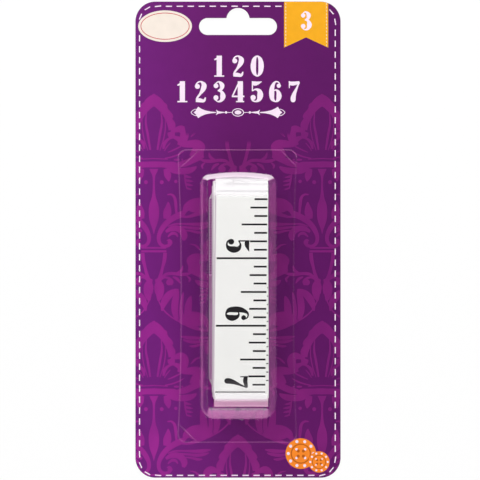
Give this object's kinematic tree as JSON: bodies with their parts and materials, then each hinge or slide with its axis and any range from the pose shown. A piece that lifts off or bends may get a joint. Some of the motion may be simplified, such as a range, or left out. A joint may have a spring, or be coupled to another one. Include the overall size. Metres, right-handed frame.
{
  "type": "sewing tape measure in a blister pack",
  "caption": "Soft flat-wound tape measure with folded metal end tips, lying loose under a clear peel-open blister dome on a printed card with a hang slot.",
  "frame": {"origin": "middle of the card's back face", "axes": "+Z out of the card's front, +Y towards the hang slot, +X to the right as the front is read"},
  "size_m": [0.079, 0.1834, 0.0176],
  "materials": {
    "printed_board": "purple print under a gloss varnish on white board",
    "clear_sheet": "clear thermoformed sheet, glossy",
    "coated_tape": "white vinyl-coated glass-fibre cloth with a satin gloss and a dark printed scale",
    "plated_steel": "thin nickel-plated steel, bright"
  },
  "bodies": {
    "card": {"backing_card": "printed_board", "tape": "coated_tape", "outer_end_tip": "plated_steel", "inner_end_tip": "plated_steel"},
    "blister": {"blister_shell": "clear_sheet"}
  },
  "joints": [
    {"name": "blister_peel", "type": "hinge", "parent": "card", "child": "blister", "pos_m": [0.0233, -0.0217, 0.00075], "axis": [0, 1, 0], "range_deg": [0, 115]}
  ]
}
